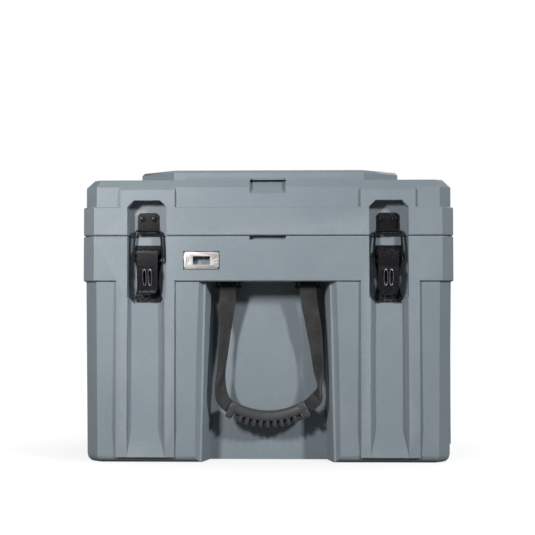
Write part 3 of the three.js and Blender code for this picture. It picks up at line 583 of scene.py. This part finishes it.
def latchBail(side):
    low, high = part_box(f"latch_bail_{side}")
    middle = (low.x + high.x) / 2
    y = (low.y + high.y) / 2
    half = [
        (14.4, 303), (17.5, 303), (20.4, 303.7), (22.1, 306), (22.5, 309.5), (21.6, 320),
        (20.5, 334), (19.7, 343), (18.9, 346.6), (16.6, 348.7), (13.5, 349),
    ]
    right = [Vector((middle + x * mm, y, z * mm)) for x, z in half]
    left = [Vector((2 * middle - point.x, point.y, point.z)) for point in reversed(right)]
    bm = bmesh.new()
    tubeAlong(bm, curvePoints(right + left, 4), latchLook["wire"])
    smooth(bm, 50)
    node = f"latch_bail_{side}"
    makePiece(f"{node}_wire", bm, finish["blackSteel"], f"bail_{side}", [node])


for side in sides:
    latchLever(side)
    leverDimples(side)
    latchLoops(side)
    latchBail(side)
print("latches made")

# lock plate
plateLook = {"edge": 0.0011, "rivetRise": 0.0007}


def lockPlate():
    bm = fromCad("lock_plate")
    roundEdges(bm, plateLook["edge"], 4, 40, 1.4)
    smooth(bm, 40)
    makePiece("lock_plate_brushed", bm, finish["plate"], "root", ["lock_plate"])
    for side in sides:
        low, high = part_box(f"lock_rivet_{side}")
        centre = (low + high) / 2
        bm = bmesh.new()
        flat = Matrix.Translation((centre.x, low.y + 0.0002, centre.z)) @ Matrix.Diagonal((1, 0.34, 1, 1))
        bmesh.ops.create_uvsphere(bm, u_segments=24, v_segments=12, radius=0.0024, matrix=flat)
        smooth(bm)
        makePiece(f"lock_rivet_{side}_head", bm, finish["plate"], "root", [f"lock_rivet_{side}"])


lockPlate()
print("lock plate made")

# webbing straps
# knots: place in mm, then the direction across the strap, then half the width in mm
strapLook = {
    "thickness": 0.0019,
    "ripple": 0.0012,
    "curl": 0.0013,
    "pick": 0.0021,
    "taut": 0.232,
    "ease": 0.03,
    "left": [
        ((-61, -189.6, 252), (1, 0, 0), 12.2), ((-61, -189.2, 262), (1, 0, 0), 12.4),
        ((-61, -190.6, 268), (1, 0, 0), 12.5), ((-61, -196, 270.3), (1, 0, 0), 12.5),
        ((-61, -201.6, 267.5), (1, 0, 0), 12.5), ((-61, -202.6, 261), (1, 0, 0), 12.5),
        ((-61.5, -200, 249), (1, 0.05, 0), 12.5), ((-63, -198, 232), (0.96, 0.3, 0), 12.5),
        ((-65, -198, 212), (0.78, 0.6, 0), 12.5), ((-67, -198, 186), (0.6, 0.8, 0), 12.4),
        ((-70, -199, 160), (0.5, 0.86, 0), 12.2), ((-72.3, -200, 136), (0.5, 0.86, 0), 12),
        ((-73, -201, 116), (0.6, 0.76, 0.1), 11.6), ((-71.6, -202.4, 101), (0.72, 0.5, 0.38), 11),
        ((-66.8, -203, 91), (0.68, 0.12, 0.64), 10.4), ((-60.5, -202.6, 84.5), (0.56, 0, 0.8), 10),
        ((-54, -202, 79.5), (0.5, 0, 0.84), 9.6),
    ],
    "right": [
        ((61, -189.6, 252), (1, 0, 0), 12.2), ((61, -189.2, 262), (1, 0, 0), 12.4),
        ((61, -190.6, 268), (1, 0, 0), 12.5), ((61, -196, 270.3), (1, 0, 0), 12.5),
        ((61, -201.6, 267.5), (1, 0, 0), 12.5), ((61, -202.6, 261), (1, 0, 0), 12.5),
        ((61.5, -200, 249), (1, -0.08, 0), 12.5), ((64, -198, 232), (0.96, -0.2, 0), 12.5),
        ((68, -198, 212), (0.95, -0.3, 0), 12.4), ((72, -198, 186), (0.85, -0.5, 0), 12.3),
        ((75.5, -199, 160), (0.75, -0.66, 0), 12.1), ((78, -200, 136), (0.6, -0.8, 0), 12),
        ((79, -201, 114), (0.25, -0.96, -0.05), 11.6), ((77.6, -202.4, 101), (0.5, -0.7, -0.45), 11),
        ((72, -203, 93), (0.62, -0.2, -0.75), 10.6), ((65, -202.6, 87), (0.5, 0, -0.86), 10.2),
        ((57, -202, 81), (0.5, 0, -0.86), 9.6),
    ],
    "along": 8,
    "across": 8,
}


def webbingStrap(side):
    knots = strapLook[side]
    along = strapLook["along"]
    centre = curvePoints([Vector(spot) * mm for spot, across, half in knots], along)
    cross = curvePoints([Vector(across).normalized() for spot, across, half in knots], along)
    widths = curvePoints([Vector((half * mm, 0, 0)) for spot, across, half in knots], along)
    travelled = [0.0]
    for first, second in zip(centre, centre[1:]):
        travelled.append(travelled[-1] + (second - first).length)
    last = len(centre) - 1
    bm = bmesh.new()
    weave = bm.loops.layers.uv.new("weave")
    bmesh.ops.create_grid(bm, x_segments=strapLook["across"], y_segments=last, size=1)
    for vert in bm.verts:
        for loop in vert.link_loops:
            row = round((vert.co.y + 1) / 2 * last)
            loop[weave].uv = (vert.co.x * 0.5 + 0.5, travelled[row] / strapLook["pick"])
    for vert in bm.verts:
        share = vert.co.x
        row = round((vert.co.y + 1) / 2 * last)
        sideways = cross[row].normalized()
        ahead = (centre[min(row + 1, last)] - centre[max(row - 1, 0)]).normalized()
        outward = ahead.cross(sideways).normalized()
        # taut round the pin and under the band, looser lower down
        loose = min(1.0, max(0.0, (strapLook["taut"] - centre[row].z) / strapLook["ease"]))
        wave = strapLook["ripple"] * math.sin(travelled[row] * 95 + share * 1.3) * (1 - share * share * 0.6)
        curl = strapLook["curl"] * share * share
        vert.co = centre[row] + sideways * widths[row].x * share + outward * (curl + wave) * loose
    for face in bm.faces:
        face.smooth = True
    piece = makePiece(f"strap_{side}_webbing", bm, finish["webbing"], "handle", [f"strap_{side}"])
    wall = piece.modifiers.new("thickness", "SOLIDIFY")
    wall.thickness = strapLook["thickness"]
    wall.offset = 0
    edge = piece.modifiers.new("edge", "BEVEL")
    edge.width = 0.0006
    edge.segments = 2
    edge.limit_method = "ANGLE"
    edge.angle_limit = math.radians(60)


for side in sides:
    webbingStrap(side)
print("straps made")

# grip
gripLook = {
    "radius": 0.1131, "centre": (0, -0.201, 0.1766), "halfAngle": 32.2, "steps": 40,
    "teeth": 9, "pitch": 5.05,
}


def gripArc(bm, section, halfAngle, steps):
    # a section drawn at the lowest point, turned out to one end and spun to the other
    cx, cy, cz = gripLook["centre"]
    points = [bm.verts.new((cx, cy + y * mm, cz - gripLook["radius"] + z * mm)) for y, z in section]
    face = bm.faces.new(points)
    turned = Matrix.Rotation(math.radians(halfAngle), 3, "Y")
    bmesh.ops.rotate(bm, verts=points, cent=gripLook["centre"], matrix=turned)
    bmesh.ops.spin(
        bm, geom=[face, *points, *face.edges], cent=gripLook["centre"], axis=(0, 1, 0),
        angle=math.radians(-2 * halfAngle), steps=steps, use_duplicate=False,
    )
    bmesh.ops.remove_doubles(bm, verts=bm.verts, dist=0.00001)
    bmesh.ops.recalc_face_normals(bm, faces=bm.faces)


def rounded(points, times=2):
    for _ in range(times):
        made = []
        for (ax, ay), (bx, by) in zip(points, points[1:] + points[:1]):
            made.append((ax * 0.75 + bx * 0.25, ay * 0.75 + by * 0.25))
            made.append((ax * 0.25 + bx * 0.75, ay * 0.25 + by * 0.75))
        points = made
    return points


def handleGrip():
    bm = bmesh.new()
    bar = rounded([
        (-9.4, -1.5), (-10, 3), (-8, 11), (-3, 13.2), (3, 13.2),
        (8, 11), (10, 3), (9.4, -1.5), (7, -3), (-7, -3),
    ])
    gripArc(bm, bar, gripLook["halfAngle"], gripLook["steps"])
    skirt = rounded([(-3.4, 1), (-3.0, -10.5), (-2.0, -11.5), (2.0, -11.5), (3.0, -10.5), (3.4, 1)], 1)
    gripArc(bm, skirt, gripLook["halfAngle"] - 7, gripLook["steps"])
    cx, cy, cz = gripLook["centre"]
    for i in range(gripLook["teeth"]):
        angle = (i - (gripLook["teeth"] - 1) / 2) * gripLook["pitch"]
        turn = Matrix.Translation((cx, cy, cz)) @ Matrix.Rotation(math.radians(angle), 4, "Y")
        top = -gripLook["radius"]
        low = (-0.0027, -0.0092, top - 0.0126)
        high = (0.0027, 0.0092, top - 0.0008)
        verts = box(bm, low, high)
        for vert in verts:
            if vert.co.z < top - 0.01:
                vert.co.y *= 0.72
                vert.co.x *= 0.86
        bmesh.ops.transform(bm, matrix=turn, verts=verts)
        edges = list({edge for vert in verts for edge in vert.link_edges})
        bmesh.ops.bevel(bm, geom=edges, offset=0.0009, affect="EDGES", segments=3, profile=0.5, material=-1)
    for end in (-1, 1):
        angle = math.radians(end * (gripLook["halfAngle"] - 3.2))
        turn = Matrix.Translation((cx, cy, cz)) @ Matrix.Rotation(angle, 4, "Y")
        top = -gripLook["radius"]
        verts = box(bm, (-0.0062, -0.0096, top - 0.0128), (0.0062, 0.0096, top + 0.0125))
        for vert in verts:
            if vert.co.z < top - 0.005:
                vert.co.x *= 0.85
        bmesh.ops.transform(bm, matrix=turn, verts=verts)
        edges = list({edge for vert in verts for edge in vert.link_edges})
        bmesh.ops.bevel(bm, geom=edges, offset=0.0028, affect="EDGES", segments=4, profile=0.5, material=-1)
    smooth(bm, 42)
    makePiece("grip_moulded", bm, finish["grip"], "handle", ["handle_grip"])


handleGrip()
print("grip made")

# wheels
wheelLook = {"spokes": 6, "round": 96}


def wheelPieces(side, sign):
    low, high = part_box(f"tyre_{side}")
    cy, cz = (low.y + high.y) / 2, (low.z + high.z) / 2
    radius = (high.z - low.z) / 2
    inner, outer = (low.x, high.x) if sign > 0 else (high.x, low.x)
    width = abs(outer - inner)

    def at(share, r):
        return (inner + sign * width * share, cy, cz + r)

    bm = bmesh.new()
    wall = radius - 0.0225
    profile = [
        at(0.06, wall), at(0.02, wall + 0.004), at(0.0, radius - 0.012), at(0.02, radius - 0.006),
        at(0.07, radius - 0.0018), at(0.14, radius - 0.0004), at(0.22, radius),
        at(0.235, radius - 0.0024), at(0.275, radius - 0.0024), at(0.29, radius),
        at(0.48, radius), at(0.48, radius - 0.0024), at(0.52, radius - 0.0024), at(0.52, radius),
        at(0.71, radius), at(0.725, radius - 0.0024), at(0.765, radius - 0.0024), at(0.78, radius),
        at(0.86, radius - 0.0004), at(0.93, radius - 0.0018), at(0.98, radius - 0.006),
        at(1.0, radius - 0.012),
        at(0.98, wall + 0.004), at(0.94, wall),
    ]
    spun(bm, profile, (0, cy, cz), (1, 0, 0), wheelLook["round"])
    smooth(bm, 32)
    makePiece(f"tyre_{side}_treaded", bm, finish["tyre"], f"wheel_{side}", [f"tyre_{side}"])

    bm = bmesh.new()
    lip = wall - 0.0004
    rim = [
        at(0.94, lip), at(0.97, lip - 0.001), at(0.97, lip - 0.0045), at(0.90, lip - 0.006),
        at(0.70, lip - 0.010), at(0.62, lip - 0.020), at(0.62, 0.0285), at(0.70, 0.0215),
        at(0.92, 0.018), at(0.955, 0.0165), at(0.955, 0.0078), at(-0.035, 0.0078),
        at(-0.035, 0.0175), at(0.30, 0.0205), at(0.44, 0.0285), at(0.44, lip - 0.020),
        at(0.30, lip - 0.010), at(0.10, lip - 0.006), at(0.03, lip - 0.0045),
        at(0.03, lip - 0.001), at(0.06, lip),
    ]
    spun(bm, rim, (0, cy, cz), (1, 0, 0), wheelLook["round"])
    smooth(bm, 32)
    node = f"wheel_rim_{side}"
    wheel = makePiece(f"rim_{side}_moulded", bm, finish["plastic"], f"wheel_{side}", [node])
    tool = bmesh.new()
    for i in range(wheelLook["spokes"]):
        angle = 2 * math.pi * i / wheelLook["spokes"]
        turn = Matrix.Translation((0, cy, cz)) @ Matrix.Rotation(angle, 4, "X")
        first = (min(inner, outer) - 0.01, -0.0085, 0.0285)
        second = (max(inner, outer) + 0.01, 0.0085, lip - 0.021)
        verts = box(tool, first, second)
        for vert in verts:
            if vert.co.z > 0.035:
                vert.co.y *= 1.45
        joined = {edge for vert in verts for edge in vert.link_edges}
        edges = [edge for edge in joined if abs(edge.verts[0].co.x - edge.verts[1].co.x) > 0.01]
        bmesh.ops.transform(tool, matrix=turn, verts=verts)
        bmesh.ops.bevel(
            tool, geom=edges, offset=0.004, affect="EDGES", segments=4, profile=0.5, material=-1,
        )
    carve(wheel, tool, "windows")


for side, sign in sides.items():
    wheelPieces(side, sign)
print("wheels made")

# drain cap
capLook = {"ribs": 30, "rib": 0.0009, "face": 0.2730}


def drainCap():
    low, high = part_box("drain_cap")
    cy, cz = (low.y + high.y) / 2, (low.z + high.z) / 2
    radius = (high.z - low.z) / 2
    face = capLook["face"]
    bm = bmesh.new()
    profile = [
        (0.2667, 0.0), (0.2667, radius - 0.0019), (low.x, radius - 0.0019), (low.x, radius - 0.0006),
        (face - 0.0022, radius - 0.0006), (face - 0.0006, radius - 0.002), (face, radius - 0.0042),
        (face - 0.0007, radius - 0.0062), (face - 0.0007, 0.0),
    ]
    spun(bm, [(x, cy, cz + r) for x, r in profile], (0, cy, cz), (1, 0, 0), 72, closed=False)
    verts = box(bm, (face - 0.001, -0.0028, -0.0155), (high.x, 0.0028, 0.0155))
    for vert in verts:
        if vert.co.x > face + 0.002:
            vert.co.y *= 0.7
            vert.co.z *= 0.94
    bmesh.ops.transform(bm, matrix=Matrix.Translation((0, cy, cz)), verts=verts)
    edges = list({edge for vert in verts for edge in vert.link_edges})
    bmesh.ops.bevel(bm, geom=edges, offset=0.0010, affect="EDGES", segments=3, profile=0.5, material=-1)
    for i in range(capLook["ribs"]):
        turn = Matrix.Translation((0, cy, cz)) @ Matrix.Rotation(2 * math.pi * i / capLook["ribs"], 4, "X")
        first = (low.x + 0.001, -capLook["rib"], radius - 0.0012)
        second = (face - 0.0024, capLook["rib"], radius)
        verts = box(bm, first, second)
        bmesh.ops.transform(bm, matrix=turn, verts=verts)
    smooth(bm, 35)
    makePiece("drain_cap_ribbed", bm, finish["plastic"], "drain", ["drain_cap"])


drainCap()
print("drain cap made")

# floor, light and camera
stageLook = {
    "floor": 0.16,
    "glow": 0.80,
    "near": 0.22,
    "far": 0.62,
    "size": 14.0,
    "air": 0.035,
    "sky": (0.93, 0.97, 1, 1),
}


def setStage():
    bpy.ops.mesh.primitive_plane_add(size=stageLook["size"], location=(0, 0, -0.0004))
    floor = bpy.context.object
    floor.name = "floor"
    pale = (stageLook["floor"],) * 3 + (1,)
    material, wire, shader = newMaterial("pale floor", {"Roughness": 0.7, "Base Color": pale})
    shader.inputs["Specular IOR Level"].default_value = 0.05
    shader.inputs["Emission Strength"].default_value = 1.0
    seen = wire.node("ShaderNodeLightPath", out=0)
    glow = (stageLook["glow"],) * 3 + (1,)
    place = wire.node("ShaderNodeTexCoord", out=3)
    reach = wire.node("ShaderNodeVectorMath", {"operation": "LENGTH"}, {0: place}, out=1)
    # the camera-only glow is dimmer near the middle and rises to white further out: a painted shade round
    # the object's foot
    glow = mixColour(wire, reach.clamped(stageLook["near"], stageLook["far"]), glow, (1, 1, 1, 1))
    feed(material, shader, {"Emission Color": mixColour(wire, seen, (0, 0, 0, 1), glow)})
    floor.data.materials.append(material)
    world = bpy.data.worlds.new("studio")
    scene.world = world
    world.use_nodes = True
    world.node_tree.nodes.clear()
    wire = Wire(world.node_tree)
    seen = wire.node("ShaderNodeLightPath", out=0)
    white = wire.node("ShaderNodeBackground", None, {"Color": (1, 1, 1, 1), "Strength": 1.0})
    air = {"Color": stageLook["sky"], "Strength": stageLook["air"]}
    soft = wire.node("ShaderNodeBackground", None, air)
    both = wire.node("ShaderNodeMixShader", None, {0: seen, 1: soft, 2: white})
    wire.node("ShaderNodeOutputWorld", None, {"Surface": both})


def softLight(name, azimuth, elevation, distance, size, power, colour=(1, 1, 1)):
    # placed by its direction from the middle of the front, azimuth to the right of the camera
    target = Vector((0, -0.23, 0.2))
    side = math.radians(azimuth)
    lift = math.radians(elevation)
    away = Vector((math.sin(side) * math.cos(lift), -math.cos(side) * math.cos(lift), math.sin(lift)))
    light = bpy.data.lights.new(name, "AREA")
    light.shape = "RECTANGLE"
    light.size, light.size_y = size
    light.energy = power
    light.color = colour
    lamp = bpy.data.objects.new(name, light)
    scene.collection.objects.link(lamp)
    lamp.location = target + away * distance
    lamp.rotation_mode = "QUATERNION"
    lamp.rotation_quaternion = (-away).to_track_quat("-Z", "Y")


def setCamera():
    camera = bpy.data.cameras.new("camera")
    camera.lens = 92.0
    camera.sensor_width = 36.0
    stand = bpy.data.objects.new("camera", camera)
    scene.collection.objects.link(stand)
    stand.location = (0.060, -2.280, 0.213)
    aim = Vector((0.0, -0.230, 0.2925))
    stand.rotation_mode = "QUATERNION"
    stand.rotation_quaternion = (aim - Vector(stand.location)).to_track_quat("-Z", "Y")
    scene.camera = stand


setStage()
softLight("left light", -31, 22, 1.25, (0.15, 0.18), 12.0)
softLight("right light", 44, 23, 2.95, (0.24, 0.28), 54, (0.97, 0.985, 1))
softLight("top light", 10, 84, 2.2, (1.6, 1.2), 2.5)
softLight("back light", 165, 30, 2.6, (1.6, 1.2), 24)
setCamera()
scene.view_settings.view_transform = "Standard"
print("stage, lights and camera set")
